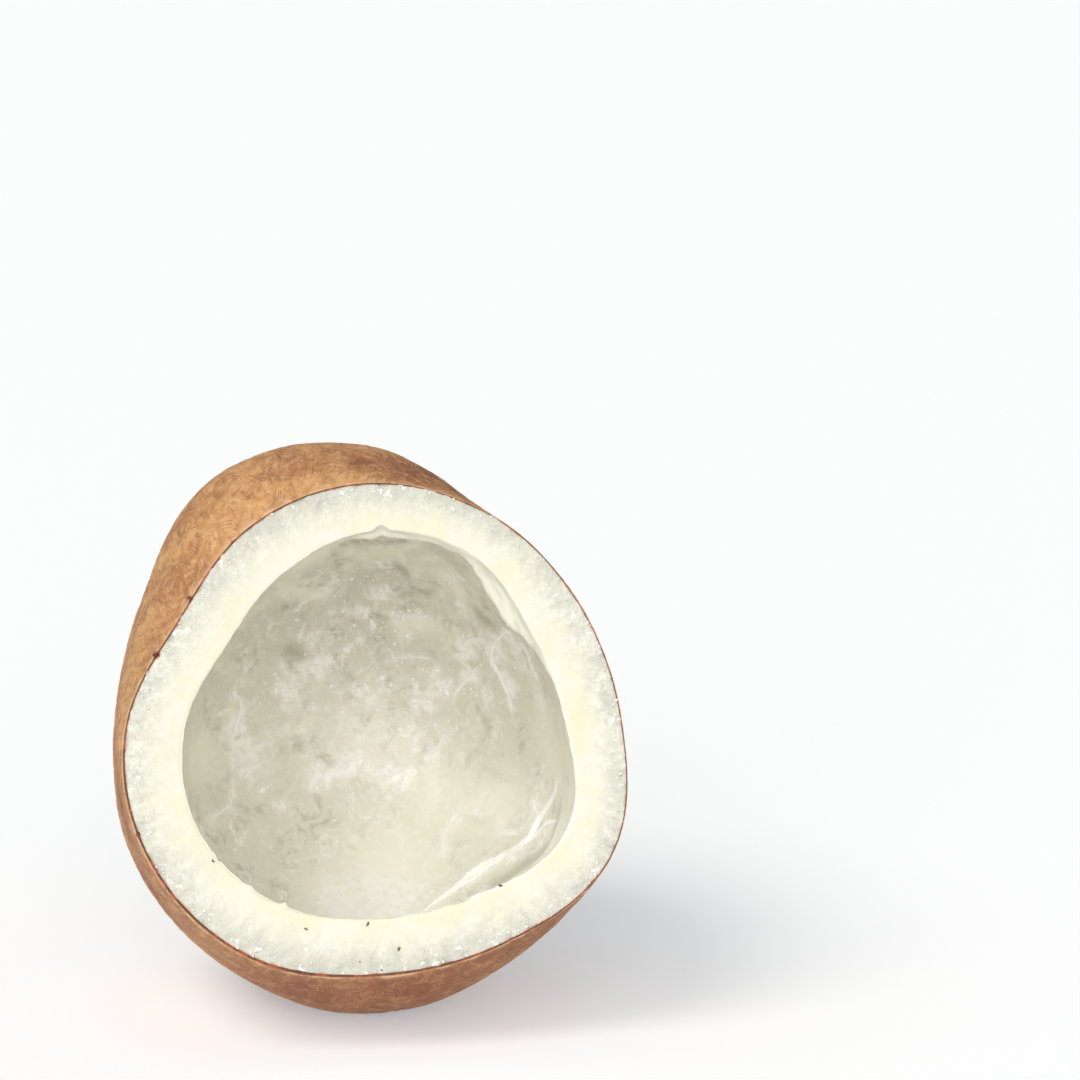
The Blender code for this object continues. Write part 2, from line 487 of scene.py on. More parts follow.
def skin_relief(points, grain):
    """Height in mm of the skin over its smooth form, and how strongly the vein marks show."""
    swirl = wander_at(points, SKIN_SWIRL, seed=3)
    lumps = SKIN_LUMP_HEIGHT * rough_at(points, SKIN_LUMPS, octaves=2, seed=5)
    veins = thin_lines(noise_at(grain + 3.0 * swirl, VEIN_SPACING, seed=21), width=0.13)
    wrinkles = thin_lines(noise_at(grain + 4.5 * swirl, WRINKLE_SPACING, seed=40), width=0.16)
    patches = step_up(noise_at(points, WRINKLED_PATCHES, seed=31), -0.25, 0.35)
    pitting = SKIN_PIT_HEIGHT * rough_at(points, SKIN_PITS, octaves=2, seed=70)
    marks = np.clip(veins * (0.25 + 0.75 * patches) + 0.7 * wrinkles * (1 - patches), 0, 1)
    return lumps + pitting - MARK_DEPTH * marks, marks


def make_skin():
    """The brown skin, a thin closed shell: wrinkled outside, torn and nicked where it was sawn."""
    skin, outside, _ = cup(
        "skin", SKIN_RINGS, lambda polar, turn: np.zeros_like(polar), HIDDEN_RINGS, skin_thickness, EDGE_CUTS
    )
    points = points_of(skin)
    depth, radius, turn = cut_coordinates(points)
    grain = grain_coordinates(points)
    heights, marks = skin_relief(points, grain)
    heights = np.clip(heights * skin_at_depth(depth, turn) / SKIN, LOWEST_SKIN, HIGHEST_SKIN)
    moved = points + normals_of(skin) * np.where(outside, heights, 0.0)[:, None]
    nicks = bells(turn, rim_radius(turn), SKIN_NICKS)
    tear = TEAR + 0.14 * noise_at(points, 2.3, seed=11) + 0.08 * noise_at(points, 1.0, seed=17) + nicks
    moved -= np.outer(np.clip(tear, 0.0, DEEPEST_TEAR) * np.exp(-depth / TEAR_REACH), OUTWARD)
    moved[:, 2] = np.maximum(moved[:, 2], np.where(outside, 0.0, SKIN / 2))
    move_points(skin, moved)
    inner_side = np.clip((rim_radius(turn) - radius) / round_the_clock(SKIN_AT_CUT, turn), 0, 1)
    sawn = np.where(outside, 0.0, np.maximum(inner_side, 0.25))
    store(skin, "marks", np.where(outside, marks, 0.0))
    store(skin, "edge", sawn + nicks * (depth < NICKED_DEPTH))
    # Painted highlight, partly wear: a paler rim of the skin next to the cut.
    store(skin, "worn_and_highlit", np.where(outside, np.exp(-depth / WORN_AND_HIGHLIT_REACH), 0.4 * (1 - inner_side)))
    # Partly painted shade: the redder places also darken the skin.
    store(skin, "ruddy_and_shaded", nearness(moved, surface_tree(skin), RUDDY_AND_SHADED))
    store(skin, "grain", grain * MM)
    smooth(skin)
    return skin


# The hollow's relief, in mm: sizes of the patterns, and how far they rise.
HOLLOW_LUMPS = 16.0
HOLLOW_LUMP_HEIGHT = 0.40
HOLLOW_RIPPLES = 4.5
HOLLOW_RIPPLE_HEIGHT = 0.09
WISP_SPACING = 7.5
WISP_PATCHES = 12.0
WISP_HEIGHT = 0.12
LINE_WANDER = 0.35  # how far folds and seams stray from their straight stretches
FROST_WANDER = 1.2
FROST_GRAINS = 2.0


def hollow_relief(points, tree):
    """Height in mm of the hollow's wall into the hollow, how frosted it is, and how shaded."""
    lumps = HOLLOW_LUMP_HEIGHT * rough_at(points, HOLLOW_LUMPS, octaves=2, seed=3)
    ripples = HOLLOW_RIPPLE_HEIGHT * rough_at(points, HOLLOW_RIPPLES, octaves=3, seed=8)
    patches = step_up(noise_at(points, WISP_PATCHES, seed=19), -0.15, 0.35)
    wisps = thin_lines(rough_at(points, WISP_SPACING, octaves=3, seed=12), width=0.09) * patches
    height = lumps + ripples + WISP_HEIGHT * wisps
    halo = np.zeros(len(points))
    wander = LINE_WANDER * wander_at(points, 2.2, seed=50)
    shade = np.zeros(len(points))
    # The folds sink the wall and are also painted with shade.
    for sunk, half_width, pixels in FOLDS:
        fold = np.exp(-((distance_to_path(points + wander, seen_points(tree, pixels)) / half_width) ** 2))
        height -= sunk * fold
        shade = np.maximum(shade, fold)
    for half_width, pixels in SEAMS:
        away = distance_to_path(points + 0.6 * wander, seen_points(tree, pixels))
        height += 0.8 * half_width * np.exp(-((away / (2.6 * half_width)) ** 2))
        halo = np.maximum(halo, np.exp(-((away / (0.6 + 1.1 * half_width)) ** 2)))
    granular = step_up(rough_at(points, FROST_GRAINS, octaves=3, seed=61), -0.30, 0.45)
    spread_out = points + FROST_WANDER * wander_at(points, 2.5, seed=33)
    frost = nearness(spread_out, tree, FROST) * (0.35 + 0.65 * granular)
    dots = nearness(points, tree, [(pixel, BLISTER_REACH) for pixel in BLISTERS])
    frost = 2.2 * frost + 0.6 * wisps + halo * (0.45 + 0.55 * granular) + dots
    return height, np.clip(frost, 0, 1), shade


# The sawn face's relief, in mm: sizes of the patterns, and how deep they go.
FACE_DENTS = 3.0
FACE_DENT_DEPTH = 0.42
FACE_GRAINS = 1.2
FACE_GRAIN_DEPTH = 0.30
FACE_STREAKS = 1.4
FACE_STREAK_DEPTH = 0.14
FACE_WAVES = 14.0
FACE_WAVE_DEPTH = 0.12
SPOKE_SHIFT = 8.0  # how far a pattern of spokes changes from the skin to the mouth
FACE_EDGE = 0.01  # points less deep than this lie on the face's own edge
FACE_FADE = 0.8  # the face's relief dies away over this depth behind the cut
# The flesh's edges, in mm.
FLESH_OVERLAP = 0.03  # the flesh reaches this far into the skin, so that no gap shows
FLESH_FLOOR = 0.5  # the hidden outside of the flesh stays this far above the ground
RAGGED_EDGE = 0.26
RAGGED_CRUMBS = 0.09
MOUTH_WAVES = 0.16
LIP_ROUNDNESS = 0.35
LOW_LIP_ROUNDNESS = 0.9  # so much rounder at the bottom
ROUND_CORNER = 0.293  # how far a quarter circle of radius 1 stays off its corner, on either side
HOLLOW_RELIEF_START = 1.5  # the hollow's relief grows to its full height over this depth
LEDGE_NOISE = 0.25
LEDGE_SLOPE = 0.75
BAND_SPACING = 9.0
BAND_STEEPNESS = 1.6
LIP_SHADOW = 0.35  # a painted shadow line this deep behind the mouth's edge marks the ledge's front
LIP_SHADOW_REACH = 0.45


def face_relief(points, turn, across):
    """How deep in mm the sawn face lies: dented and grainy near the skin, smooth near the mouth."""
    spoke = radial_direction(turn) * CUT_RADIUS[0] + np.outer(across * SPOKE_SHIFT, OUTWARD)
    coarse = np.clip(1.1 - 1.35 * across, 0.12, 1)
    dents = FACE_DENT_DEPTH * step_up(noise_at(spoke, FACE_DENTS, seed=2), 0.0, 0.7)
    grains = FACE_GRAIN_DEPTH * np.abs(noise_at(points, FACE_GRAINS, seed=6))
    streaks = FACE_STREAK_DEPTH * np.abs(noise_at(spoke, FACE_STREAKS, seed=9))
    waves = FACE_WAVE_DEPTH * (1 + noise_at(points, FACE_WAVES, seed=9))
    return (dents + (grains + streaks)) * coarse + waves, spoke


def make_flesh():
    """The white flesh: a closed cup with a grainy sawn face, a ledge inside the mouth and a lumpy hollow."""
    def hidden_inset(polar, turn):
        return skin_thickness(polar, turn) - FLESH_OVERLAP

    flesh, outside, inside = cup("flesh", HIDDEN_RINGS, hidden_inset, FLESH_RINGS, wall_thickness, FACE_CUTS)
    points = points_of(flesh)
    depth, radius, turn = cut_coordinates(points)
    outer = rim_radius(turn) - round_the_clock(SKIN_AT_CUT, turn)
    mouth = rim_radius(turn) - round_the_clock(WALL, turn)
    across = np.clip((outer - radius) / (outer - mouth), 0, 1)
    face = ~outside & ~inside
    near_rim = np.exp(-np.maximum(outer - radius, 0) / 0.7) * np.exp(-depth / 0.35) * ~inside
    near_mouth = np.exp(-np.maximum(radius - mouth, 0) / 1.0) * np.exp(-depth / 3.0) * ~outside
    radial = radial_direction(turn)
    ring = radial * CUT_RADIUS[0]

    # First the ledge, so that the seams and folds are laid on it.
    ledge_width = np.interp(np.degrees(turn), *zip(*LEDGE), period=360)
    ledge_width = ledge_width * (1 + LEDGE_NOISE * noise_at(ring, 4.0, seed=44))
    slope_end = LEDGE_SLOPE * ledge_width + 0.2
    past = np.maximum(depth - slope_end - 0.4, 0)
    ledge = ledge_width * step_up(depth, 0, slope_end) * np.exp(-past / LEDGE_FADE) * inside
    moved = points - radial * ledge[:, None]
    move_points(flesh, moved)
    tree = surface_tree(flesh)
    height, frost, fold_shade = hollow_relief(moved[inside], tree)
    height *= 1 - np.exp(-depth[inside] / HOLLOW_RELIEF_START)
    moved[inside] += normals_of(flesh)[inside] * height[:, None]

    # The lip of the mouth is rounded, most of all at the bottom.
    recess, spoke = face_relief(points, turn, across)
    recess *= np.exp(-depth / FACE_FADE) * ~(inside & (depth > FACE_EDGE))
    roundness = LIP_ROUNDNESS + LOW_LIP_ROUNDNESS * np.clip(-np.sin(turn), 0, 1) ** 2
    from_lip = np.where(inside, depth, radius - mouth)
    rounding = ROUND_CORNER * roundness * np.clip(1 - from_lip / roundness, 0, 1) ** 2
    recess += np.where(face | (depth < FACE_EDGE), rounding, 0)
    outward = np.where(inside, rounding, 0)
    outward += bells(turn, mouth, MOUTH_NICKS) * near_mouth
    outward += MOUTH_WAVES * noise_at(radial * mouth[:, None], 2.6, seed=14) * near_mouth
    # Crumbs of flesh stand out over the skin's edge.
    ragged = RAGGED_EDGE * np.clip(noise_at(ring, 1.7, seed=4) + 0.1, 0, 1)
    ragged += RAGGED_CRUMBS * noise_at(ring, 0.8, seed=8)
    outward += (ragged - bells(turn, outer, SKIN_NICKS)) * near_rim
    moved += radial * outward[:, None] - np.outer(recess, OUTWARD)
    moved[:, 2] = np.maximum(moved[:, 2], np.where(outside, FLESH_FLOOR, 0.0))
    move_points(flesh, moved)

    white = np.zeros(len(points))
    white[inside] = frost
    # Painted shade, kept as shade: along the folds, in bands across the ledge and in a line just behind the
    # mouth's edge. The ledge's front is given a duller tone, partly painted shade.
    pale = inside * step_up(-depth, -slope_end - 0.5, -slope_end) * step_up(ledge_width, 0.2, 0.9)
    round_ledge = BAND_SPACING * (radial[:, :2] + radial[:, 2:])
    into_ledge = BAND_STEEPNESS * depth + BAND_SPACING * radial[:, 2]
    shaded_bands = step_up(noise_at(np.column_stack([round_ledge, into_ledge]), 1.0, seed=27), 0.0, 0.5)
    lip_shadow = np.exp(-(((depth - LIP_SHADOW) / LIP_SHADOW_REACH) ** 2)) * step_up(ledge_width, 0.3, 1.2)
    shade = np.zeros(len(points))
    shade[inside] = np.maximum(fold_shade, (0.65 * pale * shaded_bands + 0.9 * lip_shadow)[inside])
    store(flesh, "frost", white)
    store(flesh, "shade", np.clip(shade, 0, 1))
    store(flesh, "pale", pale)
    # Partly painted light: the wall is made creamier, and so lighter, towards the bottom.
    low = 0.45 * step_up(CUT_CENTRE[2] - moved[:, 2], -12.0, 24.0)
    store(flesh, "creamy", np.maximum(nearness(moved, tree, CREAMY_AND_LIT), low))
    store(flesh, "across", across)
    store(flesh, "glassy", 0.2 + 0.8 * np.sin(turn) ** 2)
    store(flesh, "spoke", spoke * MM)
    flesh.data.materials.append(flesh_material())
    in_hollow = set(np.nonzero(inside)[0].tolist())
    for polygon in flesh.data.polygons:
        polygon.material_index = int(all(corner in in_hollow for corner in polygon.vertices))
    smooth(flesh)
    return flesh


# The small pieces: lengths in mm, unless said otherwise.
TUBE_TAPER = 0.85  # how much thinner a strand is at its ends, as a share
SMALL_PIECE_ANGLE = 80  # edges of small pieces are smoothed up to this angle, in degrees
SEAM_STEP = 3  # pixels between two points of a seam, at most
SEAM_SHAKE = 0.5  # pixels that a point may stray
SEAM_SINK = 0.15  # the share of its half width by which a seam is sunk in the surface
BLISTER_START = 4.0  # no blister is nearer the cut than this
LARGE_BLISTER = (0.50, 0.78)
SMALLEST_BLISTER = 0.15
BLISTER_LIFT = 0.42  # height over half width
SPECK_SHAPE = (1.0, 0.55, 0.3)
CRUMBS = 240
CRUMB_SPREAD = 1.3
SMALLEST_CRUMB = 0.10
CRUMB_SINK = (-0.38, -0.05)
FIBRE_RADIUS = 0.060
FIBRE_STRIDE = (0.35, 0.8)
FIBRE_POINTS = (4, 7)
FIBRE_PATCHES = 15.0  # fibres within about this distance lie much the same way
FIBRE_MARGIN = 0.5  # they stay this far behind the cut
FIBRE_CLEARANCE = 0.4  # and this far above the ground


def tubes(name, paths, radii):
    """Thin strands with tapered ends along paths of points in metres."""
    data = bpy.data.curves.new(name, "CURVE")
    data.dimensions = "3D"
    data.bevel_depth = 1.0
    data.bevel_resolution = 0
    data.use_fill_caps = True
    for path, radius in zip(paths, radii):
        spline = data.splines.new("POLY")
        spline.points.add(len(path) - 1)
        for number, (point, spot) in enumerate(zip(spline.points, path)):
            point.co = (*spot, 1.0)
            along = 2 * number / (len(path) - 1) - 1
            point.radius = radius * (1 - TUBE_TAPER * along**4)
    piece = bpy.data.objects.new(name, data)
    bpy.context.scene.collection.objects.link(piece)
    only(piece)
    bpy.ops.object.convert(target="MESH")
    piece = bpy.context.object
    smooth(piece, SMALL_PIECE_ANGLE)
    return piece


def from_lowest(corners):
    """A face's corners in the same round, from the lowest number on."""
    start = corners.index(min(corners))
    return corners[start:] + corners[:start]


def scattered(name, places, normals, sizes, bumpiness, seed):
    """One piece made of many small lumps; sizes are half lengths along, across and through the surface."""
    bpy.ops.mesh.primitive_uv_sphere_add(segments=8, ring_count=5, radius=1.0)
    lump = bpy.context.object
    lump.name = name
    ball = points_of(lump) * MM
    # Blender lists the ball's faces in another order each time, so they are put in a fixed one.
    faces = sorted(from_lowest(polygon.vertices[:]) for polygon in lump.data.polygons)
    draw = np.random.default_rng(seed)
    corners = []
    for place, normal, size in zip(places, normals, sizes):
        normal = np.array(normal)
        first = np.cross(normal, draw.normal(size=3))
        first /= np.linalg.norm(first)
        rough = ball * (1 + bumpiness * draw.normal(size=(len(ball), 1)))
        axes = np.stack([first * size[0], np.cross(normal, first) * size[1], normal * size[2]])
        corners.append(np.array(place) + rough @ axes * MM)
    starts = [len(ball) * number for number in range(len(corners))]
    all_faces = [[start + corner for corner in face] for start in starts for face in faces]
    lump.data.clear_geometry()
    lump.data.from_pydata(np.concatenate(corners), [], all_faces)
    lump.data.update()
    smooth(lump, SMALL_PIECE_ANGLE)
    return lump


def make_seams(tree):
    """The hollow's raised white seams, laid along the surface."""
    draw = random.Random(8)
    paths, radii = [], []
    for half_width, pixels in SEAMS:
        path = []
        for start, end in zip(pixels[:-1], pixels[1:]):
            steps = max(2, round(math.dist(start, end) / SEAM_STEP))
            for step in range(steps):
                share = step / steps
                straight = (a + (b - a) * share for a, b in zip(start, end))
                path.append([place + draw.uniform(-SEAM_SHAKE, SEAM_SHAKE) for place in straight])
        path.append(pixels[-1])
        laid = []
        for pixel in path:
            spot, normal = seen_at(tree, pixel)
            if spot is None or (laid and (spot - laid[-1]).length > SEAM_STRIDE * MM):
                break
            laid.append(spot - SEAM_SINK * half_width * MM * normal)
        paths.append(laid)
        radii.append(SEAM_GIRTH * half_width * MM)
    return tubes("hollow_seams", paths, radii)


def make_blisters(tree):
    """Small white blisters on the hollow's wall."""
    draw = random.Random(21)
    pixels = [(pixel, draw.uniform(*LARGE_BLISTER)) for pixel in BLISTERS]
    for centre, spread_out, count in BLISTER_GROUPS:
        for _ in range(count):
            pixel = (draw.gauss(centre[0], spread_out), draw.gauss(centre[1], spread_out))
            pixels.append((pixel, SMALLEST_BLISTER + 0.32 * draw.random() ** 2))
    places, normals, sizes = [], [], []
    for pixel, size in pixels:
        spot, normal = seen_at(tree, pixel)
        if spot is not None and cut_coordinates(np.array([spot]) / MM)[0][0] > BLISTER_START:
            places.append(spot)
            normals.append(normal)
            sizes.append((size * draw.uniform(0.9, 1.6), size, size * BLISTER_LIFT))
    return scattered("blisters", places, normals, sizes, bumpiness=0.06, seed=4)


def make_specks(tree):
    """Dark specks that stick to the sawn face."""
    places, normals = zip(*(seen_at(tree, pixel) for pixel, size in SPECKS))
    sizes = [[size * share for share in SPECK_SHAPE] for pixel, size in SPECKS]
    return scattered("specks", places, normals, sizes, bumpiness=0.16, seed=9)


def make_crumbs():
    """Loose crumbs of flesh along the sawn face's outer edge."""
    draw = np.random.default_rng(31)
    turn = draw.uniform(0, math.tau, CRUMBS)
    inward = np.abs(draw.normal(0, CRUMB_SPREAD, CRUMBS)) + 0.1
    radius = rim_radius(turn) - round_the_clock(SKIN_AT_CUT, turn) - inward
    lift = draw.uniform(*CRUMB_SINK, CRUMBS)
    places = (CUT_CENTRE + radius[:, None] * radial_direction(turn) + np.outer(lift, OUTWARD)) * MM
    normals = OUTWARD + 0.5 * draw.normal(size=(CRUMBS, 3))
    normals /= np.linalg.norm(normals, axis=1)[:, None]
    size = SMALLEST_CRUMB + 0.22 * draw.random(CRUMBS) ** 2
    length = size * draw.uniform(1.0, 1.8, CRUMBS)
    thickness = size * draw.uniform(0.4, 0.9, CRUMBS)
    sizes = np.stack([length, size, thickness], axis=1)
    return scattered("flesh_crumbs", places, normals, sizes, bumpiness=0.18, seed=32)


def make_fibres(name, tree, count, seed):
    """Short curling fibres that lie half sunk in the skin."""
    draw = random.Random(seed)
    many = np.random.default_rng(seed)
    polar = np.arccos(many.uniform(-1, math.cos(CUT_POLAR), count))
    turn = many.uniform(0, math.tau, count)
    starts = kernel_points(polar, turn, np.zeros(count))
    flow = 5.0 * noise_at(starts, FIBRE_PATCHES, seed=80)
    paths, radii = [], []
    for start, lean in zip(starts, flow):
        spot, normal = tree.find_nearest(Vector(start * MM))[:2]
        stray = Vector((draw.gauss(0, 1), draw.gauss(0, 1), 0))
        heading = Vector((math.cos(lean), math.sin(lean), 0.0)) + 0.5 * stray
        heading.rotate(normal.to_track_quat("Z", "Y"))
        curl = draw.gauss(0, 0.35)
        stride = draw.uniform(*FIBRE_STRIDE) * MM
        path = []
        for _ in range(draw.randint(*FIBRE_POINTS)):
            path.append(spot)
            heading = (heading - normal * heading.dot(normal)).normalized()
            heading = (heading + normal.cross(heading) * curl).normalized()
            curl += draw.gauss(0, 0.12)
            spot, normal = tree.find_nearest(spot + heading * stride)[:2]
        flat = np.array(path) / MM
        if cut_coordinates(flat)[0].min() > FIBRE_MARGIN and flat[:, 2].min() > FIBRE_CLEARANCE:
            paths.append(path)
            radii.append(FIBRE_RADIUS * draw.uniform(0.7, 1.3) * MM)
    return tubes(name, paths, radii)


def new_material(name):
    material = bpy.data.materials.new(name)
    material.use_nodes = True
    tree = material.node_tree
    return material, tree, tree.nodes["Principled BSDF"]


# A socket's id_data is the node tree that it belongs to.
def feed(socket, value):
    """Links a socket to another node's output, or sets it to a plain value."""
    if isinstance(value, bpy.types.NodeSocket):
        socket.id_data.links.new(value, socket)
    elif value is not None:
        socket.default_value = value


def feed_all(node, values):
    """Feeds a node's inputs, each by its name."""
    for name, value in values.items():
        feed(node.inputs[name], value)


def attribute(tree, name, output="Fac"):
    made = tree.nodes.new("ShaderNodeAttribute")
    made.attribute_name = name
    return made.outputs[output]


def object_place(tree):
    return tree.nodes.new("ShaderNodeTexCoord").outputs["Object"]


def cloud(vector, size, detail=2.0, roughness=0.5, distortion=0.0):
    """Noise with lumps of the given size in metres."""
    made = vector.id_data.nodes.new("ShaderNodeTexNoise")
    feed_all(made, {"Vector": vector, "Scale": 1 / size, "Detail": detail})
    feed_all(made, {"Roughness": roughness, "Distortion": distortion})
    return made.outputs["Fac"]


def calc(operation, first, second=None, third=None):
    made = first.id_data.nodes.new("ShaderNodeMath")
    made.operation = operation
    for socket, value in zip(made.inputs, (first, second, third)):
        feed(socket, value)
    return made.outputs[0]


def times(first, second):
    return calc("MULTIPLY", first, second)


def spread(value, low, high, to_low=0.0, to_high=1.0):
    """A smooth step from low to high."""
    made = value.id_data.nodes.new("ShaderNodeMapRange")
    made.interpolation_type = "SMOOTHSTEP"
    for socket, number in zip(made.inputs[:5], (value, low, high, to_low, to_high)):
        feed(socket, number)
    return made.outputs[0]


def blend(share, first, second):
    made = share.id_data.nodes.new("ShaderNodeMix")
    made.data_type = "RGBA"
    feed(made.inputs[0], share)
    for socket, colour in zip(made.inputs[6:8], (first, second)):
        feed(socket, (*colour, 1.0) if isinstance(colour, tuple) else colour)
    return made.outputs[2]


def layered(colour, layers):
    """Colours laid over one another; a layer gives where it lies, how strongly, and its colour."""
    for mask, strength, over in layers:
        colour = blend(times(mask, strength), colour, over)
    return colour


def bump(height, distance, strength=1.0, normal=None):
    made = height.id_data.nodes.new("ShaderNodeBump")
    feed_all(made, {"Strength": strength, "Distance": distance, "Height": height, "Normal": normal})
    return made.outputs[0]


HAIRLINE_RIPPLES = 0.0016  # sizes in metres
HAIRLINE_BREAKS = 0.0026


def hairline_group():
    """Thin lines that curl round each other and break off, like the level lines of a map."""
    group = bpy.data.node_groups.new("hairlines", "ShaderNodeTree")
    group.interface.new_socket("Vector", in_out="INPUT", socket_type="NodeSocketVector")
    for name in ("Scale", "Lines", "Width"):
        group.interface.new_socket(name, in_out="INPUT", socket_type="NodeSocketFloat")
    group.interface.new_socket("Mask", in_out="OUTPUT", socket_type="NodeSocketFloat")
    entry = group.nodes.new("NodeGroupInput").outputs
    result = group.nodes.new("NodeGroupOutput")
    hills = cloud(entry["Vector"], 1.0, detail=1.6, roughness=0.45, distortion=0.7)
    feed(hills.node.inputs["Scale"], entry["Scale"])
    ripples = cloud(entry["Vector"], HAIRLINE_RIPPLES, detail=1.0)
    level = calc("MULTIPLY_ADD", hills, entry["Lines"], times(ripples, 0.7))
    line = spread(calc("PINGPONG", level, 0.5), entry["Width"], 0.0)
    broken = spread(cloud(entry["Vector"], HAIRLINE_BREAKS, detail=1.0), 0.46, 0.56)
    feed(result.inputs["Mask"], times(line, broken))
    return group


def hairlines(vector, size, lines, width):
    made = vector.id_data.nodes.new("ShaderNodeGroup")
    made.node_tree = bpy.data.node_groups.get("hairlines") or hairline_group()
    feed_all(made, {"Vector": vector, "Scale": 1 / size, "Lines": lines, "Width": width})
    return made.outputs["Mask"]


# In the materials a cloud has the size of its lumps in metres, its detail, its roughness and its distortion.
# A spread has where its step starts and ends, and its values there. Colours are red, green and blue, 0 to 1.


def skin_material():
    """Tan, with redder patches that are partly painted shade, a fibrous weave and fine lines, a paler rim by
    the cut that is partly a painted highlight, and dark red-brown where it was sawn.
    """
    material, tree, shader = new_material("brown_seed_skin")
    spot = object_place(tree)
    grain = attribute(tree, "grain", "Vector")
    # The redder places are partly painted shade, darkening the skin low down, at the left edge and at the
    # top's right end.
    ruddy_and_shaded = attribute(tree, "ruddy_and_shaded")
    patches = spread(cloud(spot, 0.024, 4.0, 0.65, 0.8), 0.46, 0.64)
    reddish_and_shaded = calc("MAXIMUM", times(patches, 0.75), ruddy_and_shaded)
    blotches = spread(cloud(spot, 0.0045, 3.0, 0.65), 0.5, 0.72)
    flecks = cloud(grain, 0.001, 3.0, 0.7)
    weave = cloud(grain, 0.0028, 4.0, 0.7, 0.8)
    dark_lines = hairlines(grain, size=0.008, lines=14.0, width=0.2)
    pale_lines = hairlines(spot, size=0.007, lines=13.0, width=0.2)
    # Patches of the paler rim: partly wear, partly painted highlight.
    chafed_and_highlit = spread(cloud(spot, 0.003), 0.4, 0.6, 0.2, 0.9)
    red_saw_marks = spread(cloud(spot, 0.002), 0.5, 0.66)
    sawn = blend(red_saw_marks, (0.135, 0.052, 0.022), (0.36, 0.085, 0.045))
    layers = (
        (reddish_and_shaded, 1.0, (0.35, 0.135, 0.055)),
        (blotches, 0.3, (0.36, 0.155, 0.06)),
        (spread(flecks, 0.4, 0.75), 0.45, (0.7, 0.41, 0.19)),
        (spread(weave, 0.48, 0.66), 0.5, (0.35, 0.15, 0.06)),
        (spread(weave, 0.47, 0.34), 0.36, (0.76, 0.47, 0.23)),
        (dark_lines, 0.42, (0.24, 0.095, 0.04)),
        (pale_lines, 0.45, (0.78, 0.52, 0.3)),
        (attribute(tree, "marks"), 0.36, (0.21, 0.085, 0.036)),
        # Painted shade, partly: a darker brown in the redder places.
        (ruddy_and_shaded, spread(weave, 0.36, 0.64, 0.45, 0.8), (0.22, 0.07, 0.03)),
        # Painted highlight, partly wear: the paler rim by the cut.
        (attribute(tree, "worn_and_highlit"), chafed_and_highlit, (0.7, 0.45, 0.26)),
        (spread(attribute(tree, "edge"), 0.15, 0.6), 1.0, sawn),
    )
    height = calc("SUBTRACT", times(pale_lines, 0.7), dark_lines)
    woven = bump(weave, distance=0.0004)
    looks = {
        "Base Color": layered((0.585, 0.305, 0.117), layers),
        "Roughness": spread(flecks, 0.2, 0.8, 0.58, 0.8),
        "Specular IOR Level": 0.35,
        "Normal": bump(height, distance=0.00008, normal=woven),
    }
    feed_all(shader, looks)
    return material


def translucent(weight):
    """A material's settings for light that spreads inside it."""
    return {"Subsurface Weight": weight, "Subsurface Radius": (1.0, 0.85, 0.65), "Subsurface Scale": 0.002}


def flesh_material():
    """The sawn face: cream and smooth next to the hollow, white, streaked and grainy next to the skin."""
    material, tree, shader = new_material("sawn_flesh")
    spot = object_place(tree)
    spoke = attribute(tree, "spoke", "Vector")
    across = attribute(tree, "across")
    streaks = cloud(spoke, 0.002, 3.0, 0.6)
    broad = cloud(spoke, 0.006)
    grains = cloud(spot, 0.0009, 3.0, 0.65)
    inner = spread(calc("MULTIPLY_ADD", broad, 0.8, across), 0.55, 1.25)
    near_skin = spread(calc("MULTIPLY_ADD", streaks, -0.4, across), 0.48, -0.16)
    white = blend(spread(streaks, 0.42, 0.6), (0.655, 0.64, 0.54), (0.75, 0.74, 0.645))
    clear = times(near_skin, attribute(tree, "glassy"))
    glassy_spots = spread(cloud(spot, 0.003, 3.0, 0.7, 0.6), 0.5, 0.68)
    glassy = calc("MAXIMUM", glassy_spots, spread(grains, 0.56, 0.7))
    flutes = spread(cloud(spoke, 0.0042, 2.0, 0.5, 0.4), 0.5, 0.66)
    chips = spread(cloud(spot, 0.0015, 2.0, 0.6), 0.62, 0.7)
    creamy = spread(cloud(spot, 0.007, 3.0), 0.38, 0.68)
    rim_stains = spread(cloud(spot, 0.0022), 0.45, 0.65)
    layers = (
        (clear, 0.65, (0.53, 0.515, 0.43)),
        (glassy, times(near_skin, 0.6), (0.475, 0.465, 0.39)),
        (flutes, spread(across, 0.62, 0.25, 0.0, 0.6), (0.53, 0.52, 0.45)),
        (chips, near_skin, (0.9, 0.9, 0.87)),
        (inner, 1.0, blend(creamy, (0.715, 0.695, 0.52), (0.73, 0.715, 0.61))),
        (spread(across, 0.05, 0.0), rim_stains, (0.66, 0.4, 0.3)),
    )
    relief = times(calc("ADD", streaks, grains), spread(across, 0.9, 0.1, 0.15, 1.0))
    looks = {
        "Base Color": layered(white, layers),
        "Roughness": spread(grains, 0.3, 0.7, 0.3, 0.55),
        "Normal": bump(relief, distance=0.0004, strength=0.8),
    }
    feed_all(shader, looks | translucent(0.25))
    return material


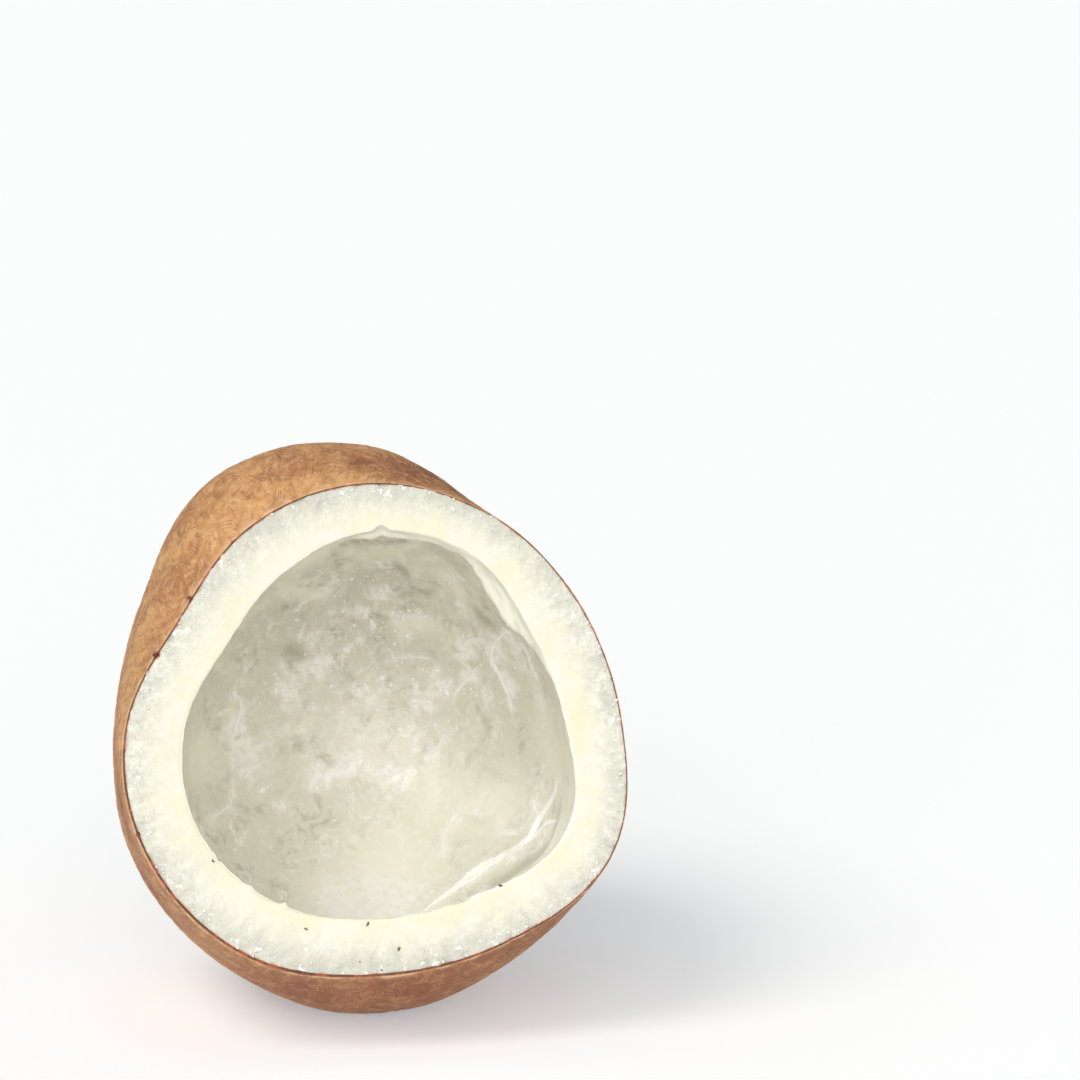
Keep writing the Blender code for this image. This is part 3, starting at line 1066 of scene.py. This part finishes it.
def hollow_material():
    """The hollow's moist lining: greyish beige to cream, with white frosted patches and wisps; lighter and
    creamier low down and murkier at the top, partly painted light and shade, with painted shade in folds,
    ledge bands and a line behind the mouth.
    """
    material, tree, shader = new_material("hollow_lining")
    spot = object_place(tree)
    clouds = cloud(spot, 0.018, 3.0, 0.6, 0.6)
    # Partly painted light: the listed creamy places and the lower wall are lighter.
    creamy = calc("MAXIMUM", attribute(tree, "creamy"), spread(clouds, 0.44, 0.72))
    base = blend(creamy, (0.695, 0.672, 0.572), (0.93, 0.91, 0.77))
    # Murk, partly painted shade: it is laid on most where the wall is least creamy, at the top.
    murk_and_shade = spread(cloud(spot, 0.006, 4.0, 0.65, 0.8), 0.5, 0.7)
    mottles = spread(cloud(spot, 0.0024, 4.0, 0.7, 0.8), 0.5, 0.66)
    grains = cloud(spot, 0.0016, 3.0, 0.65, 0.4)
    snow = spread(cloud(spot, 0.0095, 5.0, 0.68, 1.2), 0.53, 0.67)
    layers = (
        (murk_and_shade, spread(creamy, 0.9, 0.1, 0.15, 0.9), (0.5, 0.48, 0.39)),
        (mottles, 0.4, (0.94, 0.93, 0.87)),
        (snow, spread(grains, 0.42, 0.6, 0.25, 1.0), (0.98, 0.97, 0.92)),
        (hairlines(spot, size=0.014, lines=8.0, width=0.1), 0.35, (0.97, 0.96, 0.91)),
        (attribute(tree, "frost"), spread(grains, 0.36, 0.54, 0.45, 1.0), (1.0, 0.99, 0.955)),
        # The ledge's front is duller, partly painted shade; then painted shade in the folds, the ledge bands
        # and behind the mouth.
        (attribute(tree, "pale"), 1.0, (0.73, 0.71, 0.575)),
        (attribute(tree, "shade"), 0.85, (0.48, 0.465, 0.37)),
    )
    fine = cloud(spot, 0.0018, 3.0, 0.6)
    looks = {
        "Base Color": layered(base, layers),
        "Roughness": spread(mottles, 0.0, 1.0, 0.28, 0.42),
        "Coat Weight": 0.25,
        "Coat Roughness": 0.15,
        "Normal": bump(fine, distance=0.00025, strength=0.7),
    }
    feed_all(shader, looks | translucent(0.12))
    return material


def small_part_material(name, dark, pale, roughness, size=0.0015):
    """Seams, crumbs, specks and fibres: two close tones with a fine grain."""
    material, tree, shader = new_material(name)
    grains = cloud(object_place(tree), size, 3.0, 0.6)
    looks = {
        "Base Color": blend(spread(grains, 0.35, 0.65), dark, pale),
        "Roughness": spread(grains, 0.3, 0.7, roughness, roughness + 0.15),
        "Normal": bump(grains, distance=0.0001, strength=0.6),
    }
    feed_all(shader, looks)
    return material


FLOOR_RADIUS = 6.0  # in metres
FLOOR_COLOUR = (0.8, 0.76, 0.7, 1.0)
# The floor's cool glow keeps the shadows pale, and grey where the skin would make them brown.
FLOOR_GLOW = (0.71, 0.85, 1.0, 1.0)
FLOOR_GLOW_STRENGTH = 0.34
ROOM_STRENGTH = 0.38
# Each light's name, the direction it comes from, its strength, and its width in degrees.
LIGHTS = (
    ("front", (-0.1, -1.0, 0.5), 1.42, 45),
    ("right_front", (0.9, -1.0, 0.35), 0.28, 40),
    ("upper_left", (-0.6, -0.6, 1.0), 1.37, 30),
)


def add_floor():
    bpy.ops.mesh.primitive_circle_add(vertices=96, radius=FLOOR_RADIUS, fill_type="NGON")
    floor = bpy.context.object
    floor.name = "floor"
    material, _, shader = new_material("pale_floor")
    feed_all(shader, {"Base Color": FLOOR_COLOUR, "Roughness": 0.7, "Specular IOR Level": 0.2})
    feed_all(shader, {"Emission Color": FLOOR_GLOW, "Emission Strength": FLOOR_GLOW_STRENGTH})
    floor.data.materials.append(material)


def add_light():
    """Wide, even lights, as from large white panels far away, in a white room."""
    world = bpy.data.worlds.new("white_room")
    world.use_nodes = True
    background = world.node_tree.nodes["Background"]
    feed_all(background, {"Color": (1.0, 1.0, 1.0, 1.0), "Strength": ROOM_STRENGTH})
    bpy.context.scene.world = world
    for name, direction, strength, width in LIGHTS:
        data = bpy.data.lights.new(name, "SUN")
        data.energy = strength
        data.angle = math.radians(width)
        lamp = bpy.data.objects.new(name, data)
        lamp.rotation_euler = Vector(direction).to_track_quat("Z", "Y").to_euler()
        bpy.context.scene.collection.objects.link(lamp)
    bpy.context.scene.view_settings.view_transform = "Standard"


add_camera()
add_light()
add_floor()

skin = make_skin()
dress(skin, skin_material(), "brown_skin")

flesh = make_flesh()
dress(flesh, hollow_material(), "white_flesh")

on_flesh = surface_tree(flesh)
# Two tones each, and the lowest roughness.
white_look = small_part_material("white_flesh_bits", (0.98, 0.97, 0.92), (1.0, 0.99, 0.955), 0.25)
crumb_look = small_part_material("flesh_crumbs", (0.74, 0.73, 0.64), (0.84, 0.83, 0.75), 0.45)
speck_look = small_part_material("dark_specks", (0.10, 0.06, 0.03), (0.26, 0.17, 0.10), 0.6, size=0.0005)
pale_look = small_part_material("pale_fibre", (0.55, 0.30, 0.13), (0.70, 0.43, 0.21), 0.6)
dark_look = small_part_material("dark_fibre", (0.26, 0.11, 0.045), (0.40, 0.19, 0.08), 0.65)

dress(make_seams(on_flesh), white_look)
dress(make_blisters(on_flesh), white_look)
dress(make_crumbs(), crumb_look)
dress(make_specks(on_flesh), speck_look)
on_skin = surface_tree(skin)
dress(make_fibres("pale_fibres", on_skin, count=1300, seed=5), pale_look)
dress(make_fibres("dark_fibres", on_skin, count=1000, seed=6), dark_look)
